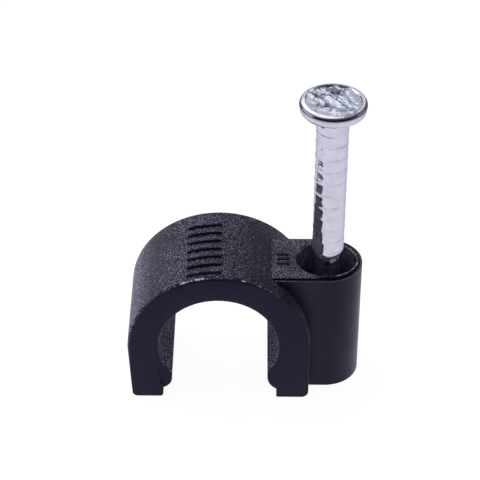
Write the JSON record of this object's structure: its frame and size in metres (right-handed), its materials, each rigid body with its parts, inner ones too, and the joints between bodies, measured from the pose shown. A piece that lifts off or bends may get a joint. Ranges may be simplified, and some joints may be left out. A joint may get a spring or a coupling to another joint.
{
  "type": "nail-in cable clip",
  "caption": "Moulded plastic hook that holds a round cable against a wall, with a boss at its side that carries a ringed steel nail, ready to be driven.",
  "frame": {"origin": "centre of the cable seat, at half the hook's depth", "axes": "+Y along the cable, +Z away from the wall and along the nail, +X from the cable towards the nail"},
  "size_m": [0.0131, 0.0062, 0.0184],
  "materials": {
    "black_plastic": "moulded, satin faces and a grained outer arch",
    "zinc_steel": "bright zinc plating"
  },
  "bodies": {
    "root": {"clip_body": "black_plastic", "nail": "zinc_steel"}
  },
  "joints": []
}
